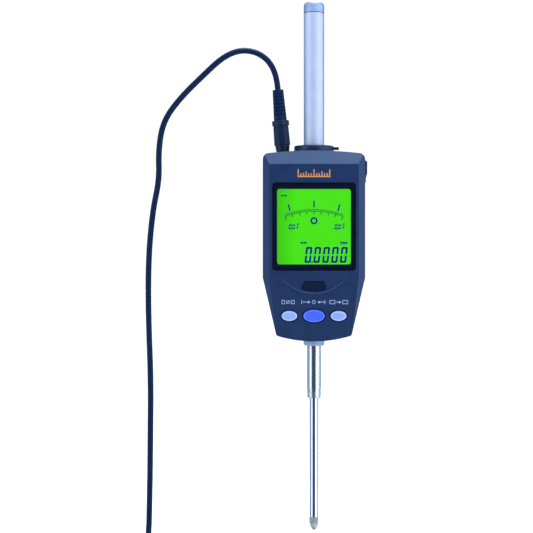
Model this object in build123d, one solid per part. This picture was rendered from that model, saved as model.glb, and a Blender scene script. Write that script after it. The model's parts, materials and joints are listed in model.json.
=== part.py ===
from build123d import *
import math
import os

# Digital long-travel indicator, held upright by its stem. Millimetres, +Z up along the spindle axis,
# display towards -Y. The origin is on the spindle axis, half way down the stem's clamping length.

# ---- driving dimensions -------------------------------------------------------------------------
STEM_R = 4.0  # standard 8 mm clamping stem
CLAMP_LENGTH = 25.0
SPINDLE_R = 2.5
CONTACT_LENGTH = 7.3
TIP_Z = -93.5  # lowest point of the contact ball with the spindle fully out
HALF_WIDTH = 29.0
FRONT = -19.0
BACK = 13.0
SPLIT = 0.0  # the two shells meet in the plane of the spindle
BEVEL_START = -14.0  # where the side walls end and the front bevels begin
WALL = 2.0
RUNNING_GAP = 0.02  # radial clearance of the bushes on the spindle
CORD_D = 3.4

# ---- stem, spindle and cover tube -----------------------------------------------------------------
STEM_TOP = CLAMP_LENGTH / 2
STEM_END = -CLAMP_LENGTH / 2
STEM_BORE_R = 3.1
SEAL_R = 3.05
BRIDGE_BORE_R = 4.0
ARM_BUSH_R = 2.1
ARM_SCREW_R = 0.9
GRIP_R = 2.68  # knurled part of the contact point
COLLAR_R = 6.0
COLLAR_TOP = STEM_TOP + 4.2
SHANK_R = 4.6
NOSE_R = 3.8
NOSE_SEAM = STEM_END - 1.3
NOSE_END = STEM_END - 5.0
SPINDLE_LOW = TIP_Z + CONTACT_LENGTH
SPINDLE_TOP = 118.0
TUBE_R = 5.9
TUBE_BORE_R = 4.9
TUBE_LOW = 113.0
TUBE_TOP = 203.5
CAP_TOP = 209.5
CAP_PLUG = 3.5  # how far the cap reaches down into the tube
SEAT_TOP = SPINDLE_TOP + 1.5
FLANGE_R = 11.4
FLANGE_LOW = 123.6
FLANGE_TOP = 127.1

# ---- inner frame and carriage -----------------------------------------------------------------------
FRAME_X = 11.5
FRAME_FRONT = -7.8
WEB_FRONT = 9.0
FRAME_BACK = 10.9
FRAME_LOW = 19.0
FRAME_SHELF = 30.0
FRAME_BRIDGE = 103.0
FRAME_HIGH = 121.0
STOP_TOP = FRAME_SHELF + 1.9
ARM_LOW = FRAME_SHELF + 2.0
ARM_HIGH = ARM_LOW + 8.0
ARM_MIDDLE = ARM_LOW + 4.0
ROD_Y = 6.4  # the anti-rotation rod stands behind the spindle
ROD_R = 1.5
ENCODER_FRONT = FRAME_FRONT - 1.0
COUPLER_FRONT = FRAME_FRONT + 0.3

# ---- outline of the housing, seen from the front --------------------------------------------------
CROWN_Z = 123.6  # the top edge is a shallow arc
TOP_CORNER_Z = 121.7
SHOULDER_Z = 51.6  # below this the sides taper and the front panel leans back
FOOT_HALF_WIDTH = 21.3
FOOT_CORNER_Z = 18.75
FOOT_Z = 15.5  # the bottom edge is an arc too
FACE_HALF_WIDTH = 25.2
FACE_TOP_Z = 115.7
TOP_FILLET = 3.6
FOOT_FILLET = 1.6
BACK_EDGE = 1.2
CUTTER = 400.0  # side of the cutting blocks, larger than the instrument
PANEL_TILT = math.atan2(4.8, 36.0)
TOP_ARC_R = (HALF_WIDTH**2 + (CROWN_Z - TOP_CORNER_Z) ** 2) / (2 * (CROWN_Z - TOP_CORNER_Z))

# ---- display, keys and ports ----------------------------------------------------------------------
WINDOW_Z = 80.4
WINDOW_SIZE = (47.2, 49.8)
WINDOW_CORNER_R = 2.1
VIEW_Z = 80.35
VIEW_SIZE = (41.6, 42.5)
WINDOW_FRONT = -18.7
WINDOW_BACK = -17.2
LEDGE_FRONT = -17.05
LEDGE_BACK = -15.9
LCD_BACK = -13.8
BOARD_FRONT = -11.5
BOARD_BACK = -10.1
BOARD_Z = (21.5, 109.0)
KEY_Z = 30.0
KEYS = {  # middle, half width, half height
    "mode_button": (-13.9, 4.4, 2.85),
    "set_button": (0.0, 6.05, 3.6),
    "data_button": (13.9, 4.4, 2.85),
}
KEY_GAP = 0.3
KEY_PROUD = 0.7
FLANGE_DEPTH = 2.25  # top of a key's inner flange, below the panel
KEY_BOTTOM = 3.0
DOME_HEIGHT = 0.5
CHIN_R = 23.6
CHIN_LOW = 42.8
RECEIVER = ((-5.5, 49.8), (5.5, 49.8), (7.6, 45.1), (-7.6, 45.1))
RECEIVER_LOW = 43.6
RECEIVER_CORNER_R = 0.9
SOCKET_X = -17.8
SOCKET_R = 5.2
SOCKET_DEPTH = 10.0
SOCKET_BORE_R = 3.45
SOCKET_Z = CROWN_Z - SOCKET_X**2 / (2 * TOP_ARC_R)
SOCKET_TILT = math.asin(SOCKET_X / TOP_ARC_R)  # the socket is square to the arched top
PAD_Y = (-12.3, -2.3)
PAD_Z = (105.9, 118.2)
PAD_PROUD = 0.45
POCKET_Y = (-12.0, -2.6)
POCKET_Z = (108.3, 118.0)
POCKET_X = HALF_WIDTH - 0.65
PORT_PIN = (29.15, 109.3)  # x and z of the cover's hinge pin
PIN_R = 0.4
PORT_Z = (111.0, 116.8)
PORT_Y = (-10.2, -4.4)

# ---- fasteners ----------------------------------------------------------------------------------------
CASE_SCREWS = [(-24.2, 99.0), (24.2, 99.0), (-17.0, 23.6), (17.0, 23.6)]
FRAME_SCREWS = [(-8.0, 24.0), (8.0, 24.0), (-8.0, 112.0), (8.0, 112.0)]
PLATE_SCREWS = [(-19.5, 36.0), (19.5, 36.0), (-19.5, 92.0), (19.5, 92.0)]
BOARD_SCREWS = [(-21.0, 52.6), (21.0, 52.6), (-18.0, 107.0), (18.0, 107.0)]
PLATE = (22.0, 31.0, 97.0)  # half width, lowest and highest edge of the back plate
PLATE_LIP = 2.5
PLATE_THICK = 1.5
PLATE_CORNER_R = 2.0
HEAD_DEPTH = 1.2  # how deep the case screws' heads sit in the back
PLATE_HEAD_DEPTH = 0.8
SMALL_SCREW_R = 0.8
SMALL_HOLE_R = 0.9
SMALL_HEAD_R = 1.5
GROOVE = (0.6, 1.4, 0.6)  # seal groove: nearest and furthest from the outside, depth
GROOVE_GAP = 0.05
BOSS_R = 2.6
HEAD_R = 2.1
SCREW_R = 1.1

# ---- plug, heights along it from the top of the housing --------------------------------------------
NOSE_TOP = 4.8
BARREL_TOP = 15.3
GROOVE_TOP = 16.0
RING_TOP = 18.8
BOOT_TOP = 36.6
BOOT_RADII = (3.75, 3.1)  # at its foot and at its top
BARREL_FLATS = 8
BARREL_RADII = (4.95, 4.7)  # to the corners, at its foot and at its top
SLOT_ROWS = 7
SLOT_PITCH = 2.0
SLOT_TURNS = (65, 115, 245, 295)  # degrees round the sleeve, two columns in front and two behind
PLUG_PLANE = Plane(
    origin=(SOCKET_X, 0, SOCKET_Z),
    x_dir=(math.cos(SOCKET_TILT), 0, -math.sin(SOCKET_TILT)),
    z_dir=(math.sin(SOCKET_TILT), 0, math.cos(SOCKET_TILT)),
)

# ---- the lead ------------------------------------------------------------------------------------------
CORD_R = CORD_D / 2
BENCH = -116.0  # the surface that the put-away part of the lead lies on
COIL_CENTRE = (-76.0, -3.0)
COIL_RADII = (15.0, 21.8)  # centre lines of the innermost and outermost turns
COIL_LAYERS = 2
LEAD_EXIT = tuple(PLUG_PLANE.from_local_coords((0, 0, BOOT_TOP)))
COIL_LEFT = COIL_CENTRE[0] - COIL_RADII[1]
COIL_FRONT = COIL_CENTRE[1] - COIL_RADII[1]
UPPER_TURN = BENCH + CORD_R + CORD_D
LOWER_TURN = BENCH + CORD_R
LEAD_ROUTE = [
    LEAD_EXIT,
    (-21.4, 0.0, 167.0),
    (-25.6, 0.0, 176.0),
    (-33.1, -0.2, 181.3),
    (-42.7, -0.5, 182.4),
    (-52.5, -1.0, 178.1),
    (-63.2, -1.5, 168.0),
    (-76.8, -2.0, 154.6),
    (-86.7, -2.0, 141.0),
    (-89.4, -1.0, 124.0),
    (-89.0, 1.0, 108.0),
    (-93.2, 4.0, 90.0),
    (-96.0, 7.0, 62.0),
    (-96.2, 9.5, 28.0),
    (-95.0, 11.5, -8.0),
    (-95.6, 14.5, -42.0),
    (-96.3, 18.6, -69.0),
    (-96.9, 21.0, -86.0),
    (-97.1, 20.8, -95.2),
    (-97.3, 17.2, -103.3),
    (-97.5, 10.4, -108.7),
    (COIL_LEFT, 2.0, UPPER_TURN),
]
TAIL_ROUTE = [
    (COIL_CENTRE[0] + 6.0, COIL_FRONT, LOWER_TURN),
    (-62.0, -24.6, LOWER_TURN),
    (-53.0, -23.9, LOWER_TURN + 0.5),
    (-44.3, -23.4, LOWER_TURN + 1.2),
]

# ---- small parts ------------------------------------------------------------------------------------------
ENCODER_HOLE_END = -4.0
ENCODER_SCREWS = [(-9.0, 22.5), (9.0, 22.5), (-9.0, 117.5), (9.0, 117.5)]
STUD_R = 1.25
BALL_R = 1.5
BALL_Z = TIP_Z + BALL_R
SPRING_R = 3.6
SPRING_WIRE_R = 0.28
SPRING_TURNS = 20


def block(x, y, z):
    """Box between two limits on each axis."""
    size = (x[1] - x[0], y[1] - y[0], z[1] - z[0])
    middle = ((x[0] + x[1]) / 2, (y[0] + y[1]) / 2, (z[0] + z[1]) / 2)
    return Pos(*middle) * Box(*size)


def rod(radius, low, high, x=0.0, y=0.0):
    """Upright cylinder."""
    return Pos(x, y, (low + high) / 2) * Cylinder(radius, high - low)


def rod_y(radius, front, back, x, z):
    """Cylinder along Y."""
    return Pos(x, (front + back) / 2, z) * Rot(90, 0, 0) * Cylinder(radius, back - front)


def rod_x(radius, left, right, y, z):
    """Cylinder along X."""
    return Pos((left + right) / 2, y, z) * Rot(0, 90, 0) * Cylinder(radius, right - left)


def along_y(sketch, front, back):
    """Sketch drawn in X and Z, given depth from front to back."""
    return Pos(0, back, 0) * extrude(Plane.XZ * sketch, back - front)


def rounded(width, height, radius, x=0.0, z=0.0):
    """Rounded rectangle drawn in X and Z."""
    return Pos(x, z) * RectangleRounded(width, height, radius)


def screw(x, z, head_front, head_back, tip):
    """Cross-recessed pan screw driven forwards from the back."""
    body = rod_y(HEAD_R, head_front, head_back, x, z) + rod_y(SCREW_R, tip, head_front, x, z)
    deep = (head_back - 0.7, head_back)
    for wide, tall in ((2.2, 0.5), (0.5, 2.2)):
        body -= block((x - wide / 2, x + wide / 2), deep, (z - tall / 2, z + tall / 2))
    return body


def turned(*profile):
    """Solid of revolution about the spindle axis, from (radius, height) points."""
    return revolve(Plane.XZ * make_face(Polyline(*profile, close=True)), Axis.Z)


# ---- housing ------------------------------------------------------------------------------------------

def outline():
    """Front view of the housing: arched top and foot, straight sides, tapered lower part."""
    left = Line((-HALF_WIDTH, SHOULDER_Z), (-HALF_WIDTH, TOP_CORNER_Z))
    crown = ThreePointArc((-HALF_WIDTH, TOP_CORNER_Z), (0, CROWN_Z), (HALF_WIDTH, TOP_CORNER_Z))
    right = Line((HALF_WIDTH, TOP_CORNER_Z), (HALF_WIDTH, SHOULDER_Z))
    taper_right = Line((HALF_WIDTH, SHOULDER_Z), (FOOT_HALF_WIDTH, FOOT_CORNER_Z))
    foot = ThreePointArc((FOOT_HALF_WIDTH, FOOT_CORNER_Z), (0, FOOT_Z), (-FOOT_HALF_WIDTH, FOOT_CORNER_Z))
    taper_left = Line((-FOOT_HALF_WIDTH, FOOT_CORNER_Z), (-HALF_WIDTH, SHOULDER_Z))
    face = make_face([left, crown, right, taper_right, foot, taper_left])
    top = face.vertices().sort_by(Axis.Y)[-2:]
    face = fillet(top, TOP_FILLET)
    feet = face.vertices().sort_by(Axis.Y)[:2]
    return fillet(feet, FOOT_FILLET)


def inset_outline(depth):
    return offset(outline(), -depth) if depth else outline()


def cut_plane(solid, points, depth):
    """Take away everything outside the plane through three points, moved inwards by depth."""
    a, b, c = (Vector(*p) for p in points)
    normal = (b - a).cross(c - a).normalized()
    if normal.Y > 0:
        normal = normal * -1
    plane = Plane(origin=a - normal * depth, z_dir=normal)
    return solid - plane * Pos(0, 0, CUTTER / 2) * Box(CUTTER, CUTTER, CUTTER)


def faceted(depth, front, back):
    """The housing's outer form, with every wall moved inwards by depth."""
    solid = along_y(inset_outline(depth), front, back)
    foot_y = FRONT + (SHOULDER_Z - FOOT_CORNER_Z) * math.tan(PANEL_TILT)
    for side in (-1, 1):
        brow = (side * HALF_WIDTH, BEVEL_START, SHOULDER_Z)
        fold = (side * FACE_HALF_WIDTH, FRONT, SHOULDER_Z)
        solid = cut_plane(solid, (brow, fold, (side * FACE_HALF_WIDTH, FRONT, 100)), depth)
        solid = cut_plane(solid, (brow, fold, (side * FOOT_HALF_WIDTH, foot_y, FOOT_CORNER_Z)), depth)
    top_bevel = ((0, BEVEL_START, CROWN_Z), (0, FRONT, FACE_TOP_Z), (9, FRONT, FACE_TOP_Z))
    lower_panel = ((0, FRONT, SHOULDER_Z), (9, FRONT, SHOULDER_Z), (0, foot_y, FOOT_CORNER_Z))
    solid = cut_plane(solid, top_bevel, depth)
    return cut_plane(solid, lower_panel, depth)


def chin():
    """Crescent under the display that stays upright while the panel leans back behind it."""
    disc = Pos(0, CHIN_LOW + CHIN_R) * Circle(CHIN_R)
    below = Pos(0, SHOULDER_Z - 50) * Rectangle(100, 100)
    return along_y(disc & below, FRONT, BEVEL_START - 1.5)


def receiver_sketch(grow=0.0):
    top_left, top_right, low_right, low_left = RECEIVER
    sides = Polyline(low_left, top_left, top_right, low_right)
    curve = ThreePointArc(low_right, (0, RECEIVER_LOW), low_left)
    face = make_face([*sides.edges(), curve])
    face = fillet(face.vertices(), RECEIVER_CORNER_R)
    return offset(face, grow) if grow else face


def panel_plane():
    """Lower front panel: x across, y up along the panel, z out of it, origin in the middle of the keys."""
    out = (0, -math.cos(PANEL_TILT), -math.sin(PANEL_TILT))
    key_y = FRONT + (SHOULDER_Z - KEY_Z) * math.tan(PANEL_TILT)
    return Plane(origin=(0, key_y, KEY_Z), x_dir=(1, 0, 0), z_dir=out)


def key_prism(x, half_width, half_height, low, high):
    """Oval prism square to the lower panel, between two heights above it."""
    sketch = Pos(x, 0, low) * Ellipse(half_width, half_height)
    return panel_plane() * extrude(sketch, high - low)


def boss_holes(places, radius, front, back):
    return [rod_y(radius, front, back, x, z) for x, z in places]


def case_bosses(front, back):
    """Screw bosses of the two shells, each with a web to the wall beside it."""
    bosses = []
    for x, z in CASE_SCREWS:
        side = math.copysign(1, x)
        wall = HALF_WIDTH - 1.5 if z > SHOULDER_Z else abs(x) + 3.2
        web = (x, side * wall) if side > 0 else (side * wall, x)
        bosses.append(rod_y(BOSS_R, front, back, x, z))
        bosses.append(block(web, (front, back), (z - 1.2, z + 1.2)))
    return bosses


def axis_openings():
    """Room for the stem's collar, the cover tube and the round socket, which the shells close round."""
    socket = PLUG_PLANE * rod(SOCKET_R, -SOCKET_DEPTH, 5)
    return [rod(SHANK_R, 10, FRAME_LOW + 1), rod(COLLAR_R, 10, COLLAR_TOP), rod(TUBE_R, 118, 130), socket]


def front_case():
    case = faceted(0, FRONT, SPLIT)
    case += chin()
    case -= faceted(WALL, FRONT + WALL, SPLIT)
    window = rounded(*WINDOW_SIZE, WINDOW_CORNER_R, z=WINDOW_Z)
    ledge = rounded(WINDOW_SIZE[0] + 0.8, WINDOW_SIZE[1] + 3, WINDOW_CORNER_R, z=WINDOW_Z)
    view = rounded(VIEW_SIZE[0] + 0.8, VIEW_SIZE[1] + 0.8, 1.5, z=VIEW_Z)
    case += along_y(ledge, FRONT + 1.0, LEDGE_BACK)
    case -= along_y(window, FRONT - 1, LEDGE_FRONT)
    case -= along_y(view, FRONT, LEDGE_BACK + 1)
    case -= along_y(receiver_sketch(), FRONT - 1, BEVEL_START)
    for x, half_width, half_height in KEYS.values():
        case -= key_prism(x, half_width + KEY_GAP, half_height + KEY_GAP, -4, 2)
    case += block((HALF_WIDTH - 1, HALF_WIDTH + PAD_PROUD), PAD_Y, PAD_Z)
    case -= block((POCKET_X, HALF_WIDTH + 2), POCKET_Y, POCKET_Z)
    case -= block((HALF_WIDTH - 3, HALF_WIDTH + 2), PORT_Y, PORT_Z)
    case -= rod_y(PIN_R, POCKET_Y[0] - 1, POCKET_Y[1] + 0.6, *PORT_PIN)
    inside = faceted(WALL - 0.2, FRONT + 1, SPLIT)
    for boss in case_bosses(BOARD_BACK + 0.8, SPLIT):
        case += boss & inside
    for x, z in BOARD_SCREWS:
        case += rod_y(1.6, BOARD_FRONT - 4.6, BOARD_FRONT, x, z)
    for hole in boss_holes(CASE_SCREWS, SCREW_R, -7.5, SPLIT):
        case -= hole
    for hole in boss_holes(BOARD_SCREWS, SMALL_SCREW_R, BOARD_FRONT - 3.4, BOARD_FRONT):
        case -= hole
    for opening in axis_openings():
        case -= opening
    return case


def rear_case():
    case = along_y(outline(), SPLIT, BACK)
    rim = case.faces().sort_by(Axis.Y)[-1].edges()
    case = chamfer(rim, BACK_EDGE)
    case -= along_y(inset_outline(WALL), SPLIT, BACK - WALL)
    near, far, depth = GROOVE
    case -= along_y(inset_outline(near) - inset_outline(far), SPLIT, SPLIT + depth)
    half, low, high = PLATE
    middle = (low + high) / 2
    seat = rounded(2 * half, high - low, PLATE_CORNER_R, z=middle)
    opening = rounded(2 * (half - PLATE_LIP), high - low - 2 * PLATE_LIP, PLATE_CORNER_R, z=middle)
    case -= along_y(seat, BACK - PLATE_THICK, BACK + 1)
    case -= along_y(opening, BACK - 3, BACK)
    inside = along_y(inset_outline(WALL - 0.2), SPLIT, BACK - 1.6)
    for boss in case_bosses(SPLIT, BACK - 1.6):
        case += boss & inside
    for x, z in PLATE_SCREWS:
        case += rod_y(BOSS_R, BACK - 7, BACK - PLATE_THICK, x, z)
    for hole in boss_holes(CASE_SCREWS + FRAME_SCREWS, SCREW_R, SPLIT, BACK):
        case -= hole
    for hole in boss_holes(CASE_SCREWS + FRAME_SCREWS, HEAD_R, BACK - HEAD_DEPTH, BACK + 1):
        case -= hole
    for hole in boss_holes(PLATE_SCREWS, SCREW_R, BACK - 6, BACK):
        case -= hole
    for opening in axis_openings():
        case -= opening
    return case


def case_gasket():
    """Seal in the groove between the shells, cut where the tube, socket and stem pass through."""
    near, far, depth = GROOVE
    band = inset_outline(near + GROOVE_GAP) - inset_outline(far - GROOVE_GAP)
    ring = along_y(band, SPLIT, SPLIT + depth - GROOVE_GAP)
    for opening in axis_openings():
        ring -= opening
    return ring


def back_plate():
    half, low, high = PLATE
    sketch = rounded(2 * half - 0.2, high - low - 0.2, PLATE_CORNER_R - 0.1, z=(low + high) / 2)
    plate = along_y(sketch, BACK - PLATE_THICK, BACK)
    for hole in boss_holes(PLATE_SCREWS, SCREW_R, BACK - 2, BACK + 1):
        plate -= hole
    for hole in boss_holes(PLATE_SCREWS, HEAD_R, BACK - PLATE_HEAD_DEPTH, BACK + 1):
        plate -= hole
    return plate


def screws(places, head_depth, tip):
    return Compound([screw(x, z, BACK - head_depth, BACK - 0.1, tip) for x, z in places])


# ---- display --------------------------------------------------------------------------------------------

def window_sketch():
    """Outline of the window, with a little play in its opening."""
    width, height = WINDOW_SIZE
    return rounded(width - 0.1, height - 0.1, WINDOW_CORNER_R - 0.05, z=WINDOW_Z)


def display_window():
    pane = along_y(window_sketch(), WINDOW_FRONT, WINDOW_BACK)
    return chamfer(pane.faces().sort_by(Axis.Y)[0].edges(), 0.2)


def window_border():
    """Dark mask printed round the back of the window."""
    mask = window_sketch() - rounded(*VIEW_SIZE, 1.4, z=VIEW_Z)
    return along_y(mask, WINDOW_BACK, LEDGE_FRONT)


def lcd_frame():
    """Plastic frame that carries the glass and the light guide on the main board."""
    width, height = VIEW_SIZE
    outside = rounded(width + 5.0, height + 5.0, 1.0, z=VIEW_Z)
    inside = rounded(width + 2.4, height + 2.4, 0.8, z=VIEW_Z)
    return along_y(outside - inside, LEDGE_BACK + 0.1, BOARD_FRONT)


def lcd_glass():
    width, height = VIEW_SIZE
    return along_y(rounded(width + 2.3, height + 2.3, 0.7, z=VIEW_Z), LEDGE_BACK + 0.1, LCD_BACK)


def backlight_panel():
    width, height = VIEW_SIZE
    return along_y(rounded(width + 2.2, height - 3.0, 0.7, z=VIEW_Z + 1.5), LCD_BACK, BOARD_FRONT)


def elastomer_connectors():
    """Conductive rubber strips between the glass and the board, one on each side of the middle."""
    low = VIEW_Z - VIEW_SIZE[1] / 2
    strips = [block((x - 9, x + 9), (LCD_BACK, BOARD_FRONT), (low - 0.8, low + 1.0)) for x in (-10.5, 10.5)]
    return Compound(strips)


# ---- electronics ----------------------------------------------------------------------------------------

def main_board():
    low, high = BOARD_Z
    sketch = inset_outline(WALL + 0.6) & (Pos(0, (low + high) / 2) * Rectangle(80, high - low))
    board = along_y(sketch, BOARD_FRONT, BOARD_BACK)
    for hole in boss_holes(BOARD_SCREWS, SMALL_HOLE_R, BOARD_FRONT - 1, BOARD_BACK + 1):
        board -= hole
    return board


def board_screws():
    parts = []
    for x, z in BOARD_SCREWS:
        head = rod_y(SMALL_HEAD_R, BOARD_BACK, BOARD_BACK + 0.7, x, z)
        parts.append(head + rod_y(SMALL_SCREW_R, BOARD_FRONT - 2.9, BOARD_BACK, x, z))
    return Compound(parts)


def key_domes():
    """Snap domes on the board, one behind each key."""
    domes = []
    for x, _, _ in KEYS.values():
        base = rod_y(2.6, BOARD_FRONT - 0.15, BOARD_FRONT, x, KEY_Z)
        domes.append(base + rod_y(1.9, BOARD_FRONT - DOME_HEIGHT, BOARD_FRONT - 0.15, x, KEY_Z))
    return Compound(domes)


def receiver_window():
    return along_y(receiver_sketch(-0.05), FRONT + 0.25, FRONT + 2.6)


def receiver_module():
    """Infrared receiver on the board behind its window."""
    module = block((-4.5, 4.5), (BOARD_FRONT - 3.6, BOARD_FRONT), (44.6, 50.2))
    lens = Pos(0, BOARD_FRONT - 3.0, 47.4) * Sphere(1.7)
    return module + lens


def encoder_board():
    """Long fixed board of the displacement encoder, with its track on the side of the carriage."""
    low, high = FRAME_LOW + 1, FRAME_HIGH - 1
    board = block((-11, 11), (ENCODER_FRONT, FRAME_FRONT), (low, high))
    for x, z in ENCODER_SCREWS:
        board -= rod_y(SMALL_HOLE_R, ENCODER_FRONT - 1, FRAME_FRONT + 1, x, z)
    return board


def encoder_screws():
    parts = []
    for x, z in ENCODER_SCREWS:
        head = rod_y(SMALL_HEAD_R, ENCODER_FRONT - 0.6, ENCODER_FRONT, x, z)
        parts.append(head + rod_y(SMALL_SCREW_R, ENCODER_FRONT, ENCODER_HOLE_END, x, z))
    return Compound(parts)


def board_link():
    """Pin header between the main board and the encoder board."""
    return block((-6, 6), (BOARD_BACK, ENCODER_FRONT), (60, 62.5))


# ---- frame and guides ----------------------------------------------------------------------------------

def chassis_frame():
    span = (-FRAME_X, FRAME_X)
    frame = block(span, (WEB_FRONT, FRAME_BACK), (FRAME_LOW, FRAME_HIGH))
    frame += block(span, (FRAME_FRONT, WEB_FRONT), (FRAME_LOW, FRAME_SHELF))
    frame += block(span, (FRAME_FRONT, WEB_FRONT), (FRAME_BRIDGE, FRAME_HIGH))
    frame -= rod(SHANK_R, FRAME_LOW - 1, FRAME_SHELF + 1)
    frame -= rod(BRIDGE_BORE_R, FRAME_BRIDGE - 1, TUBE_LOW)
    frame -= rod(TUBE_R, TUBE_LOW, FRAME_HIGH + 1)
    frame -= rod(ROD_R, FRAME_SHELF - 7, FRAME_BRIDGE + 7, y=ROD_Y)
    for low in (36, 70):
        frame -= block((-6, 6), (WEB_FRONT - 1, FRAME_BACK + 1), (low, low + 27))
    for hole in boss_holes(FRAME_SCREWS, SCREW_R, 4, FRAME_BACK + 1):
        frame -= hole
    for x, z in ENCODER_SCREWS:
        frame -= rod_y(SMALL_SCREW_R, FRAME_FRONT - 1, ENCODER_HOLE_END, x, z)
    return frame


def stem():
    body = rod(STEM_R, STEM_END, STEM_TOP) + rod(COLLAR_R, STEM_TOP, COLLAR_TOP)
    low_edge = [e for e in body.edges().filter_by(GeomType.CIRCLE) if abs(e.radius - COLLAR_R) < 0.01]
    body = fillet(sorted(low_edge, key=lambda e: e.center().Z)[0], 1.2)
    body += rod(SHANK_R, COLLAR_TOP, FRAME_SHELF)
    return body - rod(STEM_BORE_R, STEM_END - 1, FRAME_SHELF + 1)


def bush(radius, low, high):
    return rod(radius, low, high) - rod(SPINDLE_R + RUNNING_GAP, low - 1, high + 1)


def lower_bush():
    """Guide pressed into the bottom of the stem, with a thin rim below it."""
    sleeve = rod(STEM_BORE_R, STEM_END, STEM_END + 10) + rod(NOSE_R, NOSE_SEAM, STEM_END)
    return sleeve - rod(SPINDLE_R + RUNNING_GAP, NOSE_SEAM - 1, 0)


def stem_nose():
    """Screwed-on nose that holds the wiper."""
    nose = rod(NOSE_R, NOSE_END, NOSE_SEAM)
    nose = fillet(nose.edges().sort_by(Axis.Z)[0], 0.4)
    return nose - rod(2.7, NOSE_END - 1, NOSE_SEAM + 1) - rod(SEAL_R, NOSE_END + 1, NOSE_SEAM)


def wiper_seal():
    return rod(SEAL_R, NOSE_END + 1, NOSE_END + 3.2) - rod(SPINDLE_R + 0.06, NOSE_END, NOSE_SEAM)


def stop_ring():
    return rod(SHANK_R, FRAME_SHELF, STOP_TOP) - rod(2.75, FRAME_SHELF - 1, STOP_TOP + 1)


def spindle_tube():
    return rod(TUBE_R, TUBE_LOW, TUBE_TOP) - rod(TUBE_BORE_R, TUBE_LOW - 1, TUBE_TOP + 1)


def tube_flange():
    """Clamp disc on top of the housing, with a small tongue to the right."""
    disc = rod(FLANGE_R, FLANGE_LOW, FLANGE_TOP)
    edges = disc.edges().filter_by(GeomType.CIRCLE).sort_by(Axis.Z)[-1]
    disc = fillet(edges, 0.7)
    disc += block((8, 14.3), (-2.2, 2.2), (FLANGE_LOW + 1.4, FLANGE_TOP - 0.7))
    return disc - rod(TUBE_R, FLANGE_LOW - 1, FLANGE_TOP + 1)


def tube_cap():
    cap = rod(TUBE_R, TUBE_TOP, CAP_TOP)
    cap = fillet(cap.edges().sort_by(Axis.Z)[-1], 1.9)
    return cap + rod(TUBE_BORE_R - 0.06, TUBE_TOP - CAP_PLUG, TUBE_TOP)


def return_spring():
    """Compression spring between the spindle's seat and the cap."""
    low, high = SEAT_TOP + SPRING_WIRE_R, TUBE_TOP - CAP_PLUG - SPRING_WIRE_R
    path = Helix(pitch=(high - low) / SPRING_TURNS, height=high - low, radius=SPRING_R)
    start = path @ 0
    section = Plane(origin=start, z_dir=path % 0) * Circle(SPRING_WIRE_R)
    return Pos(0, 0, low) * sweep(section, path=path)


# ---- moving pieces --------------------------------------------------------------------------------------

def spindle():
    shaft = rod(SPINDLE_R, SPINDLE_LOW, SPINDLE_TOP)
    shaft = chamfer(shaft.edges().filter_by(GeomType.CIRCLE).sort_by(Axis.Z)[0], 0.25)
    shaft -= rod(STUD_R, SPINDLE_LOW - 1, SPINDLE_LOW + 5)
    return shaft - rod(STUD_R, SPINDLE_TOP - 4, SPINDLE_TOP + 1)


def contact_point():
    """Interchangeable contact: screwed stud, knurled grip, cone and a socket for the ball."""
    grip_low = SPINDLE_LOW - 3.3
    profile = [
        (0, SPINDLE_LOW + 5),
        (STUD_R, SPINDLE_LOW + 5),
        (STUD_R, SPINDLE_LOW),
        (GRIP_R, SPINDLE_LOW),
        (GRIP_R, grip_low),
        (2.45, grip_low - 0.3),
        (BALL_R + 0.45, BALL_Z + 0.2),
        (0, BALL_Z + 0.2),
    ]
    return turned(*profile) - Pos(0, 0, BALL_Z) * Sphere(BALL_R)


def contact_ball():
    return Pos(0, 0, BALL_Z) * Sphere(BALL_R)


def spring_seat():
    seat = rod(4.4, SPINDLE_TOP, SEAT_TOP) + rod(STUD_R, SPINDLE_TOP - 4, SPINDLE_TOP)
    return seat + rod(2.6, SEAT_TOP, SEAT_TOP + 2)


def carriage_arm():
    """Arm clamped on the spindle: it carries the coupler and slides on the anti-rotation rod."""
    arm = block((-6.5, 6.5), (COUPLER_FRONT + 0.6, WEB_FRONT - 0.3), (ARM_LOW, ARM_HIGH))
    arm -= rod(SPINDLE_R, ARM_LOW - 1, ARM_HIGH + 1)
    arm -= rod(ARM_BUSH_R, ARM_LOW - 1, ARM_HIGH + 1, y=ROD_Y)
    arm -= rod_x(ARM_SCREW_R, SPINDLE_R - 0.5, 6.5, 0, ARM_MIDDLE)
    return arm - rod_x(1.7, 4.8, 7, 0, ARM_MIDDLE)


def arm_screw():
    shank = rod_x(ARM_SCREW_R, SPINDLE_R + 0.2, 4.8, 0, ARM_MIDDLE)
    return shank + rod_x(1.6, 4.8, 6.3, 0, ARM_MIDDLE)


def arm_bush():
    sleeve = rod(ARM_BUSH_R, ARM_LOW, ARM_HIGH, y=ROD_Y)
    return sleeve - rod(ROD_R + 0.04, ARM_LOW - 1, ARM_HIGH + 1, y=ROD_Y)


def coupler_plate():
    return block((-8, 8), (COUPLER_FRONT, COUPLER_FRONT + 0.6), (ARM_LOW, ARM_HIGH))


def key_cap(x, half_width, half_height):
    """Domed oval key with a flange that keeps it behind the panel."""
    cap = key_prism(x, half_width, half_height, -KEY_BOTTOM, KEY_PROUD)
    crown = cap.edges().sort_by_distance(panel_plane().from_local_coords((x, 0, 30)))[0]
    cap = fillet(crown, 0.5)
    cap += key_prism(x, half_width + 0.8, half_height + 0.7, -KEY_BOTTOM, -FLANGE_DEPTH)
    return cap


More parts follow.
